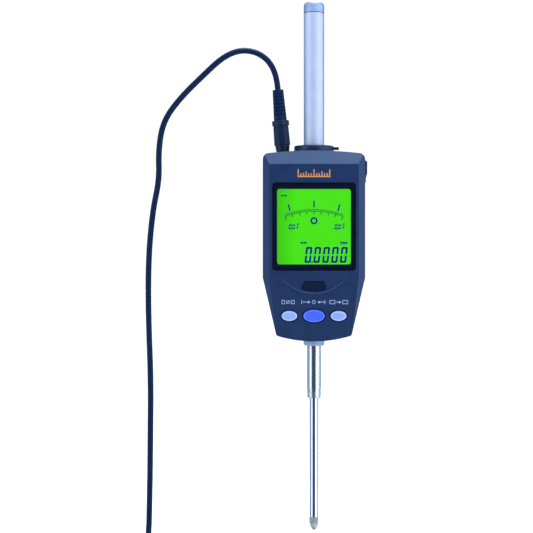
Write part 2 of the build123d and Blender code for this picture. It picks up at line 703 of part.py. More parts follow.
def port_cover():
    """Ribbed cover over the side port, hinged on a pin at its lower end."""
    pin_x, pin_z = PORT_PIN
    low, high = POCKET_Y[0] + 0.1, POCKET_Y[1] - 0.1
    top = POCKET_Z[1] - 0.2
    cover = rod_y(0.75, low, high, pin_x, pin_z)
    cover += block((pin_x - 0.4, pin_x + 0.75), (low, high), (pin_z, top))
    count = 11
    pitch = (top - pin_z - 1.0) / count
    for index in range(count):
        z = pin_z + 1.0 + pitch * (index + 0.5)
        cover += block((pin_x + 0.7, pin_x + 1.1), (low, high), (z - 0.22, z + 0.22))
    return cover - rod_y(PIN_R + 0.04, low - 1, high + 1, pin_x, pin_z)


def port_cover_pin():
    return rod_y(PIN_R, POCKET_Y[0] - 1, POCKET_Y[1] + 0.6, *PORT_PIN)


def port_socket():
    """Flat data connector behind the cover."""
    shell = block((22.5, 27.0), (PORT_Y[0] - 0.8, PORT_Y[1] + 0.8), (PORT_Z[0] - 0.8, PORT_Z[1] + 0.8))
    shell -= block((24.5, 27.5), (PORT_Y[0] + 0.4, PORT_Y[1] - 0.4), (PORT_Z[0] + 0.4, PORT_Z[1] - 0.4))
    for index in range(4):
        z = PORT_Z[0] + 1.2 + index * 1.15
        shell += block((24.5, 26.6), (-7.6, -7.0), (z - 0.25, z + 0.25))
    return shell


# ---- plug and lead --------------------------------------------------------------------------------------

def on_plug(profile):
    """Solid turned about the plug's axis, from (radius, height above the housing) points."""
    return PLUG_PLANE * turned(*profile)


def cord_socket():
    ring = rod(SOCKET_R, -SOCKET_DEPTH, 0) - rod(SOCKET_BORE_R, -7, 1)
    return PLUG_PLANE * ring


def plug_nose():
    """Metal nose of the plug, seated in the socket."""
    inner = SOCKET_BORE_R
    return on_plug([(0, -6.9), (inner, -6.9), (inner, 0), (3.6, 0), (4.2, NOSE_TOP), (0, NOSE_TOP)])


def plug_barrel():
    """Grip with flats, a little wider at its foot."""
    foot, top = BARREL_RADII
    turn = 180 / BARREL_FLATS
    low = Plane.XY.offset(NOSE_TOP) * RegularPolygon(foot, BARREL_FLATS, rotation=turn)
    high = Plane.XY.offset(BARREL_TOP) * RegularPolygon(top, BARREL_FLATS, rotation=turn)
    return PLUG_PLANE * loft([low.face(), high.face()])


def plug_ring():
    groove = PLUG_PLANE * rod(4.3, BARREL_TOP, GROOVE_TOP)
    return groove + PLUG_PLANE * rod(4.9, GROOVE_TOP, RING_TOP)


def strain_relief():
    """Tapered sleeve with rows of slots that let it bend."""
    foot, top = BOOT_RADII
    sleeve = on_plug([(0, RING_TOP), (foot, RING_TOP), (top, BOOT_TOP), (0, BOOT_TOP)])
    for row in range(SLOT_ROWS):
        z = BOOT_TOP - 2.2 - SLOT_PITCH * row
        for turn in SLOT_TURNS:
            slot = Pos(0, 0, z) * Rot(0, 0, turn) * Pos(3.6, 0, 0) * Box(2.6, 1.5, 0.95)
            sleeve -= PLUG_PLANE * slot
    return sleeve


def corner_radii(route):
    """Radius at each corner: 0.45 of its shorter run, divided by the tangent of half the turn."""
    points = [Vector(*p) for p in route]
    radii = []
    for before, here, after in zip(points, points[1:], points[2:]):
        turn = math.radians((here - before).get_angle(after - here))
        shorter = min((here - before).length, (after - here).length)
        radii.append(0.45 * shorter / math.tan(turn / 2))
    return radii


def cord_along(name, route):
    radii = corner_radii(route)
    path = FilletPolyline(*route, radius=radii)
    section = Plane(origin=path @ 0, z_dir=path % 0) * Circle(CORD_R)
    tube = sweep(section, path=path)
    print(name, "radii", [round(r, 1) for r in radii])
    print(name, "length", round(path.length, 1), "volume", round(tube.volume, 1))
    print(name, "section x length", round(path.length * math.pi * CORD_R**2, 1))
    return tube


def cord_coil():
    """Outer shape of the put-away turns."""
    x, y = COIL_CENTRE
    low, high = BENCH, BENCH + COIL_LAYERS * CORD_D
    inner, outer = COIL_RADII
    return rod(outer + CORD_R, low, high, x, y) - rod(inner - CORD_R, low - 1, high + 1, x, y)


def coil_tie():
    """Strap round the coil's bundle, at the back of it."""
    x = COIL_CENTRE[0]
    y = COIL_CENTRE[1] + sum(COIL_RADII) / 2
    half_thick = (COIL_RADII[1] - COIL_RADII[0]) / 2 + CORD_R
    high = BENCH + COIL_LAYERS * CORD_D
    loop = block((x - 3, x + 3), (y - half_thick - 0.9, y + half_thick + 0.9), (high, high + 0.8))
    loop += block((x - 3, x + 3), (y + half_thick + 0.1, y + half_thick + 0.9), (BENCH, high))
    return loop + block((x - 3, x + 3), (y - half_thick - 0.9, y - half_thick - 0.1), (BENCH, high))


def connector_plane():
    start = Vector(*TAIL_ROUTE[-1])
    run = start - Vector(*TAIL_ROUTE[-2])
    return Plane(origin=start, x_dir=(0, 0, 1), z_dir=run)


def connector_boot():
    """Tapered sleeve where the lead enters the far connector."""
    plane = connector_plane()
    return plane * (Pos(0, 0, 5) * Cone(2.0, 2.5, 10))


def connector_body():
    """Flat ten-way connector housing on the far end."""
    plane = connector_plane()
    body = plane * (Pos(0, 0, 16) * Box(5.4, 15.0, 12.0))
    body = chamfer(body.edges().filter_by(lambda e: abs(e.length - 12.0) < 0.01), 0.7)
    return body - plane * (Pos(0, 0, 20.5) * Box(3.4, 12.8, 3.1))


def connector_contacts():
    pins = []
    plane = connector_plane()
    for row in (-0.7, 0.7):
        for index in range(5):
            pins.append(plane * (Pos(row, (index - 2) * 2.2, 20.2) * Box(0.5, 0.5, 2.5)))
    return Compound(pins)


def nodes():
    """Every sub-part by name."""
    parts = {
        "front_case": front_case(),
        "rear_case": rear_case(),
        "case_gasket": case_gasket(),
        "back_plate": back_plate(),
        "case_screws": screws(CASE_SCREWS, HEAD_DEPTH, -7.0),
        "frame_screws": screws(FRAME_SCREWS, HEAD_DEPTH, 4.2),
        "back_plate_screws": screws(PLATE_SCREWS, PLATE_HEAD_DEPTH, BACK - 5.5),
        "display_window": display_window(),
        "window_border": window_border(),
        "lcd_frame": lcd_frame(),
        "lcd_glass": lcd_glass(),
        "backlight_panel": backlight_panel(),
        "elastomer_connectors": elastomer_connectors(),
        "main_board": main_board(),
        "board_screws": board_screws(),
        "key_domes": key_domes(),
        "receiver_window": receiver_window(),
        "receiver_module": receiver_module(),
        "encoder_board": encoder_board(),
        "encoder_screws": encoder_screws(),
        "board_link": board_link(),
        "chassis_frame": chassis_frame(),
        "guide_rod": rod(ROD_R, FRAME_SHELF - 7, FRAME_BRIDGE + 7, y=ROD_Y),
        "stem": stem(),
        "lower_bush": lower_bush(),
        "shank_bush": bush(STEM_BORE_R, FRAME_SHELF - 10, FRAME_SHELF),
        "bridge_bush": bush(BRIDGE_BORE_R, FRAME_BRIDGE, TUBE_LOW),
        "stem_nose": stem_nose(),
        "wiper_seal": wiper_seal(),
        "stop_ring": stop_ring(),
        "spindle_tube": spindle_tube(),
        "tube_flange": tube_flange(),
        "tube_cap": tube_cap(),
        "return_spring": return_spring(),
        "spindle": spindle(),
        "spring_seat": spring_seat(),
        "contact_point": contact_point(),
        "contact_ball": contact_ball(),
        "carriage_arm": carriage_arm(),
        "arm_screw": arm_screw(),
        "arm_bush": arm_bush(),
        "coupler_plate": coupler_plate(),
        "port_cover": port_cover(),
        "port_cover_pin": port_cover_pin(),
        "port_socket": port_socket(),
        "cord_socket": cord_socket(),
        "plug_nose": plug_nose(),
        "plug_barrel": plug_barrel(),
        "plug_ring": plug_ring(),
        "strain_relief": strain_relief(),
        "data_cord": cord_along("data_cord", LEAD_ROUTE),
        "cord_coil": cord_coil(),
        "cord_tail": cord_along("cord_tail", TAIL_ROUTE),
        "coil_tie": coil_tie(),
        "connector_boot": connector_boot(),
        "connector_body": connector_body(),
        "connector_contacts": connector_contacts(),
    }
    for name, shape in KEYS.items():
        parts[name] = key_cap(*shape)
    return parts


os.makedirs("parts", exist_ok=True)
for node, solid in nodes().items():
    export_step(solid, f"parts/{node}.step")
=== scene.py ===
import json
import math

import bmesh
import bpy
from mathutils import Matrix, Vector

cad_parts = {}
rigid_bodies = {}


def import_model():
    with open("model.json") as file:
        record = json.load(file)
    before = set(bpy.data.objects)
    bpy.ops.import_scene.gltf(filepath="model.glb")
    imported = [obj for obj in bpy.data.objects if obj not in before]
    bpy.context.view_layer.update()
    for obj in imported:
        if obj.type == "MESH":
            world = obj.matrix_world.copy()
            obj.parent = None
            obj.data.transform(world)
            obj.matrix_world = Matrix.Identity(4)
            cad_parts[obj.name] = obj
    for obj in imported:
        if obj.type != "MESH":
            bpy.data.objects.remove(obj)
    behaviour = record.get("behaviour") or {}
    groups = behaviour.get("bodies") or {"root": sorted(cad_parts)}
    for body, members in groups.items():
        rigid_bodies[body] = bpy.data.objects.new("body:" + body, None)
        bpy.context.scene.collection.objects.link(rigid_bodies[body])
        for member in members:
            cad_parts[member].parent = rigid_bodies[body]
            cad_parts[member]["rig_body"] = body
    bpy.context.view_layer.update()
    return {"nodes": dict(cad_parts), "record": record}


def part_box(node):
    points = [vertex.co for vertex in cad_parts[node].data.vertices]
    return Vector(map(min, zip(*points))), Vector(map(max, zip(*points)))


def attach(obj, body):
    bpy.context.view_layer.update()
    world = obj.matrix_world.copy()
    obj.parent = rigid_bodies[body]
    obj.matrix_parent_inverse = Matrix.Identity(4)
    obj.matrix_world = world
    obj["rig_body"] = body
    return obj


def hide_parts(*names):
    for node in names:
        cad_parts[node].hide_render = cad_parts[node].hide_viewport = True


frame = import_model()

# Digital long-travel indicator. The camera and the lead come first, then materials, visible pieces and light.
# Lengths are millimetres in the part's own frame unless a comment says metres, and MM turns them into metres.

MM = 0.001
nodes = frame["nodes"]

# ---- driving dimensions --------------------------------------------------------------------------------
FRONT = -19.0  # Y of the housing's front
SHOULDER_Z = 51.6  # where the front folds back into the key panel
PANEL_TILT = math.atan2(4.8, 36.0)
VIEW_WIDTH = 41.6  # of the lit display
CHIN_R = 23.6  # lower edge of the crescent under the display
CHIN_LOW = 42.8
CHIN_BEAD = 0.34
CORD_D = 3.4
CORD_R = CORD_D / 2
BENCH = -116.0  # the surface that the put-away lead lies on
COIL_CENTRE = (-76.0, -3.0)
COIL_OUTER = 21.8
TURN_PITCH = 3.4


def mm(*values):
    """Vector in metres from millimetres."""
    return Vector([value * MM for value in values])


def srgb(red, green, blue, alpha=1.0):
    """Linear colour from 0-255 display values."""
    linear = []
    for value in (red, green, blue):
        value /= 255
        linear.append(value / 12.92 if value <= 0.04045 else ((value + 0.055) / 1.055) ** 2.4)
    return (*linear, alpha)


def add_object(name, data):
    """Object with this data, linked to the scene."""
    item = bpy.data.objects.new(name, data)
    bpy.context.scene.collection.objects.link(item)
    return item


# ---- camera ----------------------------------------------------------------------------------------------

CAMERA_DISTANCE = 900.0
CAMERA_Z = 57.9
PICTURE_WIDTH = 306.5  # what the picture spans at the spindle's depth
PICTURE_CENTRE_X = -27.3  # the instrument stands right of the middle
camera = add_object("camera", bpy.data.cameras.new("camera"))
bpy.context.scene.camera = camera
camera.location = mm(0, -CAMERA_DISTANCE, CAMERA_Z)
camera.rotation_euler = (math.pi / 2, 0, 0)
camera.data.sensor_width = 36.0
camera.data.lens = camera.data.sensor_width * CAMERA_DISTANCE / PICTURE_WIDTH
camera.data.shift_x = PICTURE_CENTRE_X / PICTURE_WIDTH
camera.data.clip_start = 0.01
camera.data.clip_end = 60.0

# ---- lead ------------------------------------------------------------------------------------------------

LEAD_EXIT = (-20.734, 0.0, 159.37)
COIL_LEFT = COIL_CENTRE[0] - COIL_OUTER
COIL_FRONT = COIL_CENTRE[1] - COIL_OUTER
LOWER_TURN = BENCH + CORD_R
UPPER_TURN = LOWER_TURN + CORD_D
LEAD_ROUTE = [
    LEAD_EXIT,
    (-21.4, 0.0, 167.0),
    (-25.6, 0.0, 176.0),
    (-33.1, -0.2, 181.3),
    (-42.7, -0.5, 182.4),
    (-52.5, -1.0, 178.1),
    (-63.2, -1.5, 168.0),
    (-76.8, -2.0, 154.6),
    (-86.7, -2.0, 141.0),
    (-89.4, -1.0, 124.0),
    (-89.0, 1.0, 108.0),
    (-93.2, 4.0, 90.0),
    (-96.0, 7.0, 62.0),
    (-96.2, 9.5, 28.0),
    (-95.0, 11.5, -8.0),
    (-95.6, 14.5, -42.0),
    (-96.3, 18.6, -69.0),
    (-96.9, 21.0, -86.0),
    (-97.1, 20.8, -95.2),
    (-97.3, 17.2, -103.3),
    (-97.5, 10.4, -108.7),
    (COIL_LEFT, 2.0, UPPER_TURN),
]
TAIL_ROUTE = [
    (COIL_CENTRE[0] + 6.0, COIL_FRONT, LOWER_TURN),
    (-62.0, -24.6, LOWER_TURN),
    (-53.0, -23.9, LOWER_TURN + 0.5),
    (-44.3, -23.4, LOWER_TURN + 1.2),
]
STEP = 15  # degrees between points of a turn
LAST_ANGLE = 1890  # five turns and a quarter
CUT_RESTORED = 0.67  # share of the spline's corner cutting that is made good


def eased(angle, start, span=60):
    """0 before start, 1 after start + span, smooth between, in degrees along the coil."""
    t = min(max((angle - start) / span, 0.0), 1.0)
    return t * t * (3 - 2 * t)


def coil_points():
    """Three turns inwards on the upper layer, down, and outwards on the lower one."""
    centre_x, centre_y = COIL_CENTRE
    points = []
    for angle in range(STEP, LAST_ANGLE, STEP):
        inwards = eased(angle, 270) + eased(angle, 630) - eased(angle, 1230) - eased(angle, 1590)
        radius = (COIL_OUTER - TURN_PITCH * inwards) / math.cos(math.radians(STEP / 2)) ** CUT_RESTORED
        z = UPPER_TURN - CORD_D * eased(angle, 930)
        around = math.radians(180 + angle)
        points.append((centre_x + radius * math.cos(around), centre_y + radius * math.sin(around), z))
    return points


def round_curve(name, kind, count, fineness):
    """Curve of round section with capped ends and one spline of count points; returns curve and spline."""
    curve = bpy.data.curves.new(name, "CURVE")
    curve.dimensions = "3D"
    curve.bevel_depth = 1.0  # so that a point's radius is the real one
    curve.bevel_resolution = fineness
    curve.use_fill_caps = True
    spline = curve.splines.new(kind)
    spline.points.add(count - 1)
    return curve, spline


def nurbs(name, points, radius):
    """Round cord on one open quadratic spline."""
    curve, spline = round_curve(name, "NURBS", len(points), 5)
    curve.resolution_u = 6
    for place, point in zip(spline.points, points):
        place.co = (*mm(*point), 1.0)
        place.radius = radius * MM
    spline.order_u = 3
    spline.use_endpoint_u = True
    return add_object(name, curve)


lead = nurbs("data_lead", LEAD_ROUTE + coil_points() + TAIL_ROUTE, CORD_R)
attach(lead, "case")
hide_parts("data_cord", "cord_coil", "cord_tail")

# ---- materials ---------------------------------------------------------------------------------------------

BLUE_SHEEN = (0.62, 0.8, 1.0)


def new_material(name, color, roughness, metallic=0.0, specular=0.5, sheen_color=(1.0, 1.0, 1.0)):
    """Principled material, with its gloss tinted by sheen_color; returns it with its node tree and shader."""
    material = bpy.data.materials.new(name)
    material.use_nodes = True
    shader = material.node_tree.nodes["Principled BSDF"]
    shader.inputs["Base Color"].default_value = color
    shader.inputs["Roughness"].default_value = roughness
    shader.inputs["Metallic"].default_value = metallic
    shader.inputs["Specular IOR Level"].default_value = specular
    shader.inputs["Specular Tint"].default_value = (*sheen_color, 1.0)
    return material, material.node_tree, shader


def coordinates(tree, scale=(1, 1, 1)):
    """Object coordinates in millimetres, times scale."""
    source = tree.nodes.new("ShaderNodeTexCoord")
    mapping = tree.nodes.new("ShaderNodeMapping")
    mapping.inputs["Scale"].default_value = [value / MM for value in scale]
    tree.links.new(source.outputs["Object"], mapping.inputs["Vector"])
    return mapping.outputs["Vector"]


def noise(tree, per_mm, detail=3.0, roughness=0.55, stretch=(1, 1, 1)):
    """Noise whose grain repeats about per_mm times in a millimetre."""
    texture = tree.nodes.new("ShaderNodeTexNoise")
    texture.inputs["Scale"].default_value = per_mm
    texture.inputs["Detail"].default_value = detail
    texture.inputs["Roughness"].default_value = roughness
    tree.links.new(coordinates(tree, stretch), texture.inputs["Vector"])
    return texture.outputs["Fac"]


def remap(tree, value, low, high, to_low, to_high):
    """Value taken from the range low to high into the range to_low to to_high, and held at its ends."""
    node = tree.nodes.new("ShaderNodeMapRange")
    for name, number in (("From Min", low), ("From Max", high), ("To Min", to_low), ("To Max", to_high)):
        node.inputs[name].default_value = number
    tree.links.new(value, node.inputs["Value"])
    return node.outputs["Result"]


def combine(tree, operation, first, second):
    """Two values in one Math node."""
    node = tree.nodes.new("ShaderNodeMath")
    node.operation = operation
    tree.links.new(first, node.inputs[0])
    tree.links.new(second, node.inputs[1])
    return node.outputs["Value"]


def facing(tree):
    """0 where the surface faces the view, 1 where it turns away."""
    glance = tree.nodes.new("ShaderNodeLayerWeight")
    glance.inputs["Blend"].default_value = 0.5
    return glance.outputs["Facing"]


def color_ramp(tree, value, dark, light, low=0.3, high=0.7):
    """Ramp node that runs from dark to light while value goes from low to high."""
    ramp = tree.nodes.new("ShaderNodeValToRGB")
    ramp.color_ramp.elements[0].position = low
    ramp.color_ramp.elements[0].color = dark
    ramp.color_ramp.elements[1].position = high
    ramp.color_ramp.elements[1].color = light
    tree.links.new(value, ramp.inputs["Fac"])
    return ramp


def vary_color(tree, shader, value, dark, light):
    """Base colour runs from dark to light with value."""
    ramp = color_ramp(tree, value, dark, light)
    tree.links.new(ramp.outputs["Color"], shader.inputs["Base Color"])
    return ramp


def add_bump(tree, shader, value, height_mm, strength=1.0):
    """Fine relief of the surface from value."""
    bump = tree.nodes.new("ShaderNodeBump")
    bump.inputs["Strength"].default_value = strength
    bump.inputs["Distance"].default_value = height_mm * MM
    tree.links.new(value, bump.inputs["Height"])
    tree.links.new(bump.outputs["Normal"], shader.inputs["Normal"])


def shade(color, factor):
    """Colour made darker or lighter by a factor."""
    return (*[min(1.0, channel * factor) for channel in color[:3]], 1.0)


def moulded(name, color, roughness=0.42, grain=5.0, height=0.012, specular=0.5, spread=0.10):
    """Moulded plastic: fine spark-eroded grain, cloudy tone, uneven gloss."""
    material, tree, shader = new_material(name, color, roughness, 0.0, specular, BLUE_SHEEN)
    vary_color(tree, shader, noise(tree, 0.12, 4), shade(color, 1 - spread), shade(color, 1 + spread))
    gloss = remap(tree, noise(tree, 0.35, 5), 0.3, 0.7, roughness - 0.05, roughness + 0.06)
    tree.links.new(gloss, shader.inputs["Roughness"])
    add_bump(tree, shader, noise(tree, grain, 2), height, 0.6)
    return material


def turned_metal(name, color, roughness=0.2, along=(0.15, 0.15, 8.0), height=0.0025, metallic=1.0):
    """Ground or turned metal with fine marks across the axis."""
    material, tree, shader = new_material(name, color, roughness, metallic)
    marks = noise(tree, 1.4, 6, 0.65, along)
    smudge = noise(tree, 0.12, 4)
    vary_color(tree, shader, smudge, shade(color, 0.93), shade(color, 1.04))
    gloss = remap(tree, marks, 0.25, 0.75, roughness * 0.75, roughness * 1.35)
    tree.links.new(gloss, shader.inputs["Roughness"])
    add_bump(tree, shader, marks, height, 0.5)
    return material


def anodised_material(name, color):
    """Satin anodised aluminium, more metallic where it turns away."""
    material = turned_metal(name, color, 0.46, (0.15, 0.15, 6.0), 0.002, 0.3)
    tree = material.node_tree
    sheen = remap(tree, facing(tree), 0.35, 0.65, 0.3, 1.0)
    tree.links.new(sheen, tree.nodes["Principled BSDF"].inputs["Metallic"])
    return material


def rubber(name, color, roughness=0.55, grain=3.0):
    """Matt rubber or soft plastic with a coarse grain."""
    material, tree, shader = new_material(name, color, roughness, specular=0.4, sheen_color=BLUE_SHEEN)
    vary_color(tree, shader, noise(tree, 0.3, 5), shade(color, 0.85), shade(color, 1.15))
    add_bump(tree, shader, noise(tree, grain, 4), 0.01, 0.5)
    return material


def display_material():
    """Backlit polariser: green glow, a little dimmer towards the left, faintly cloudy."""
    green = srgb(72, 226, 8)
    material, tree, shader = new_material("lcd_green", shade(green, 0.06), 0.5, specular=0.05)
    split = tree.nodes.new("ShaderNodeSeparateXYZ")
    tree.links.new(coordinates(tree), split.inputs["Vector"])
    across = remap(tree, split.outputs["X"], -VIEW_WIDTH / 2, -VIEW_WIDTH / 4, 0.74, 1.02)
    cloud = remap(tree, noise(tree, 0.08, 3), 0.3, 0.7, 0.985, 1.015)
    shader.inputs["Emission Color"].default_value = green
    tree.links.new(combine(tree, "MULTIPLY", across, cloud), shader.inputs["Emission Strength"])
    return material


def clear_material():
    """Thin clear pane: light passes straight through, and the surface reflects more at a glancing view."""
    material, tree, shader = new_material("window_clear", (0.9, 0.95, 1.0, 1), 0.03, metallic=1.0)
    haze = remap(tree, noise(tree, 0.6, 6), 0.35, 0.8, 0.02, 0.05)
    tree.links.new(haze, shader.inputs["Roughness"])
    rise = tree.nodes.new("ShaderNodeMath")
    rise.operation = "POWER"
    rise.inputs[1].default_value = 5.0
    tree.links.new(facing(tree), rise.inputs[0])
    tree.links.new(remap(tree, rise.outputs["Value"], 0, 1, 0.03, 0.9), shader.inputs["Alpha"])
    return material


def board_material():
    """Green solder resist with copper tracks showing through as faint lines."""
    material, tree, shader = new_material("circuit_board", srgb(18, 92, 52), 0.3)
    tracks = noise(tree, 0.5, 1, 0.4, (2.0, 0.2, 0.4))
    ramp = vary_color(tree, shader, tracks, srgb(12, 74, 42), srgb(42, 120, 66))
    ramp.color_ramp.interpolation = "CONSTANT"
    return material


def jacket_material(name, color):
    """Satin lead jacket: faint scuffs and a matt bloom."""
    material, tree, shader = new_material(name, color, 0.48, specular=0.35, sheen_color=(0.3, 0.6, 1.0))
    vary_color(tree, shader, noise(tree, 0.08, 3), shade(color, 0.92), shade(color, 1.1))
    scuff = remap(tree, noise(tree, 0.3, 4), 0.35, 0.75, 0.44, 0.54)
    tree.links.new(scuff, shader.inputs["Roughness"])
    add_bump(tree, shader, noise(tree, 0.5, 3), 0.0015, 0.2)
    return material


NAVY = srgb(25, 46, 85)
STEEL = srgb(214, 221, 232)
materials = {
    "housing": moulded("housing_navy", NAVY, 0.36),
    "back_cover": moulded("back_cover_navy", srgb(22, 41, 77), 0.4),
    "seal_rubber": rubber("seal_rubber", srgb(26, 26, 28)),
    "screw_steel": turned_metal("screw_steel", srgb(190, 192, 196), 0.28, (0.4, 0.4, 0.4)),
    "window_clear": clear_material(),
    "window_mask": moulded("window_mask", srgb(5, 10, 38), 0.4, 3.0, 0.0005, specular=0.2),
    "lcd_cell": display_material(),
    "lcd_carrier": moulded("lcd_carrier", srgb(214, 216, 212), 0.5),
    "light_guide": moulded("light_guide", srgb(210, 235, 200), 0.3),
    "zebra_rubber": rubber("zebra_rubber", srgb(86, 84, 90)),
    "circuit_board": board_material(),
    "component_black": moulded("component_black", srgb(28, 28, 30), 0.45),
    "dome_steel": turned_metal("dome_steel", srgb(200, 200, 200), 0.25),
    "infrared_window": moulded("infrared_window", srgb(16, 28, 52), 0.16, 6.0, 0.001),
    "frame_metal": turned_metal("frame_metal", srgb(196, 198, 202), 0.4, (0.6, 0.6, 0.6), 0.006),
    "stem_steel": turned_metal("stem_steel", STEEL, 0.2),
    "spindle_steel": turned_metal("spindle_steel", srgb(220, 227, 242), 0.12, (0.1, 0.1, 9.0), 0.0012),
    "bush_metal": turned_metal("bush_metal", srgb(190, 150, 90), 0.3),
    "tube_metal": anodised_material("tube_metal", srgb(193, 203, 230)),
    "flange_paint": moulded("flange_paint", srgb(22, 38, 76), 0.34, 6.0, 0.004),
    "spring_steel": turned_metal("spring_steel", srgb(170, 172, 176), 0.3),
    "tip_steel": turned_metal("tip_steel", srgb(196, 198, 196), 0.45, (0.5, 0.5, 3.0), metallic=0.5),
    "carbide": turned_metal("carbide", srgb(184, 188, 192), 0.3, (0.5, 0.5, 0.5), 0.0008, 0.7),
    "key_pale": moulded("key_pale", srgb(140, 157, 250), 0.34, 5.0, 0.003, spread=0.04),
    "key_blue": moulded("key_blue", srgb(62, 92, 248), 0.34, 5.0, 0.003, spread=0.04),
    "port_rubber": rubber("port_rubber", srgb(26, 36, 62)),
    "socket_metal": moulded("socket_metal", srgb(14, 27, 52), 0.4),
    "plug_plastic": moulded("plug_plastic", srgb(17, 34, 68), 0.42, 5.0, 0.004, specular=0.35),
    "cord_jacket": jacket_material("cord_jacket", srgb(8, 24, 60)),
    "tie_plastic": rubber("tie_plastic", srgb(24, 24, 26), 0.8, 1.6),
    "connector_black": moulded("connector_black", srgb(28, 29, 33), 0.42),
    "contact_gold": turned_metal("contact_gold", srgb(226, 184, 96), 0.22, (0.5, 0.5, 0.5)),
}
segment_ink, _, _ = new_material("segment_ink", srgb(8, 30, 118), 0.5, specular=0.1)
faint_ink, _, _ = new_material("faint_ink", srgb(40, 136, 36), 0.5, specular=0.1)
band_ink, _, _ = new_material("band_ink", srgb(64, 186, 40), 0.5, specular=0.1)
print_ink = moulded("print_white", srgb(150, 172, 212), 0.45, 6.0, 0.002)
mark_ink = moulded("print_orange", srgb(205, 138, 76), 0.4, 6.0, 0.002)
# Dark colour for the rings round the keys: painted shade of the gaps between keys and panel.
gap_shade = moulded("key_gap_shade", srgb(10, 18, 62), 0.8, 6.0, 0.002, specular=0.05)
# Lighter copies of the key materials for the keys' rims: a painted highlight on their rounded edges.
rim_highlight_materials = {
    "key_pale": moulded("key_pale_rim_painted_highlight", srgb(176, 194, 253), 0.34, 5.0, 0.003, spread=0.03),
    "key_blue": moulded("key_blue_rim_painted_highlight", srgb(82, 120, 252), 0.34, 5.0, 0.003, spread=0.03),
}
# A lighter copy of the housing's colour for the crescent's edge: a painted highlight.
chin_edge_highlight_material = moulded("housing_edge_painted_highlight", srgb(38, 68, 116), 0.36, 6.0, 0.003)
# Dark colour for the seam under the cap: painted shade.
cap_seam_painted_shade = moulded("cap_seam_painted_shade", srgb(40, 62, 100), 0.6, 6.0, 0.002)
collar_satin = turned_metal("collar_satin", srgb(150, 172, 198), 0.5, metallic=0.35)
nose_satin = turned_metal("nose_satin", STEEL, 0.32)
cap_anodised = anodised_material("cap_anodised", srgb(158, 178, 218))
cap_anodised.node_tree.nodes["Principled BSDF"].inputs["Specular IOR Level"].default_value = 0.15
slots = {entry["node"]: entry["material_slot"] for entry in frame["record"]["subparts"]}


def dress(piece, slot):
    """Give a piece the material of one of the record's slots, and nothing else."""
    if not piece.material_slots:
        piece.data.materials.append(materials[slot])
    for place in piece.material_slots:
        place.material = materials[slot]


for name, node in nodes.items():
    dress(node, slots[name])
dress(lead, "cord_jacket")

# ---- how shapes are made -----------------------------------------------------------------------------------

def angles(count):
    """Even steps round a full turn."""
    return [2 * math.pi * index / count for index in range(count)]


def band_faces(body, near, far):
    """Four-sided faces between two rings of as many vertices."""
    faces = []
    for index in range(len(near)):
        after = (index + 1) % len(near)
        faces.append(body.faces.new((near[index], near[after], far[after], far[index])))
    return faces


def mesh_from(body, name, plane=None):
    """Mesh of a bmesh, its faces turned outwards, and moved onto a plane when one is given."""
    bmesh.ops.recalc_face_normals(body, faces=body.faces)
    if plane:
        body.transform(plane)
    mesh = bpy.data.meshes.new(name)
    body.to_mesh(mesh)
    body.free()
    return mesh


def rounded_copy(node, width, angle=20, segments=3):
    """Stands for a CAD node with its sharp edges rounded to width."""
    mesh = nodes[node].data.copy()
    mesh.name = node + "_rounded"
    body = bmesh.new()
    body.from_mesh(mesh)
    bmesh.ops.remove_doubles(body, verts=body.verts, dist=2e-6)
    bmesh.ops.dissolve_limit(body, angle_limit=math.radians(0.6), verts=body.verts, edges=body.edges)
    body.to_mesh(mesh)
    body.free()
    piece = add_object(node + "_rounded", mesh)
    bevel = piece.modifiers.new("edges", "BEVEL")
    bevel.width = width * MM
    bevel.segments = segments
    bevel.limit_method = "ANGLE"
    bevel.angle_limit = math.radians(angle)
    bevel.harden_normals = False
    bevel.use_clamp_overlap = True
    for face in mesh.polygons:
        face.use_smooth = True
    smooth = piece.modifiers.new("normals", "WEIGHTED_NORMAL")
    smooth.keep_sharp = True
    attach(piece, nodes[node]["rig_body"])
    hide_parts(node)
    dress(piece, slots[node])
    return piece


def flat_piece(name, outlines, y, depth, material, plane=None):
    """Thin raised shapes from outlines in X and Z, or on a plane when one is given."""
    body = bmesh.new()
    for outline in outlines:
        body.faces.new([body.verts.new(mm(x, y + depth, z)) for x, z in outline])
    bmesh.ops.recalc_face_normals(body, faces=body.faces)
    grown = bmesh.ops.extrude_face_region(body, geom=body.faces[:])
    moved = [item for item in grown["geom"] if isinstance(item, bmesh.types.BMVert)]
    bmesh.ops.translate(body, verts=moved, vec=mm(0, -depth, 0))
    mesh = mesh_from(body, name, plane)
    mesh.materials.append(material)
    piece = add_object(name, mesh)
    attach(piece, "case")
    return piece


# ---- outlines ----------------------------------------------------------------------------------------------

def stroke(start, end, width):
    """Straight stroke with square ends."""
    start, end = Vector(start), Vector(end)
    along = (end - start).normalized()
    side = Vector((-along.y, along.x)) * width / 2
    return [start + side, end + side, end - side, start - side]


def bar(start, end, width):
    """Stroke with pointed ends, as a segment has."""
    start, end = Vector(start), Vector(end)
    along = (end - start).normalized()
    side = Vector((-along.y, along.x)) * width / 2
    tip = along * width / 2
    return [start, start + tip + side, end - tip + side, end, end - tip - side, start + tip - side]


def arrow(start, end, width, head):
    """Shaft and triangular head, as two outlines."""
    start, end = Vector(start), Vector(end)
    along = (end - start).normalized()
    side = Vector((-along.y, along.x))
    neck = end - along * head * 1.3
    return [stroke(start, neck, width), [neck + side * head * 0.7, end, neck - side * head * 0.7]]


def frame_outline(left, low, width, height, thick):
    """Upright rectangle drawn as four strokes."""
    right, top = left + width, low + height
    return [
        stroke((left, low + thick / 2), (right, low + thick / 2), thick),
        stroke((left, top - thick / 2), (right, top - thick / 2), thick),
        stroke((left + thick / 2, low), (left + thick / 2, top), thick),
        stroke((right - thick / 2, low), (right - thick / 2, top), thick),
    ]


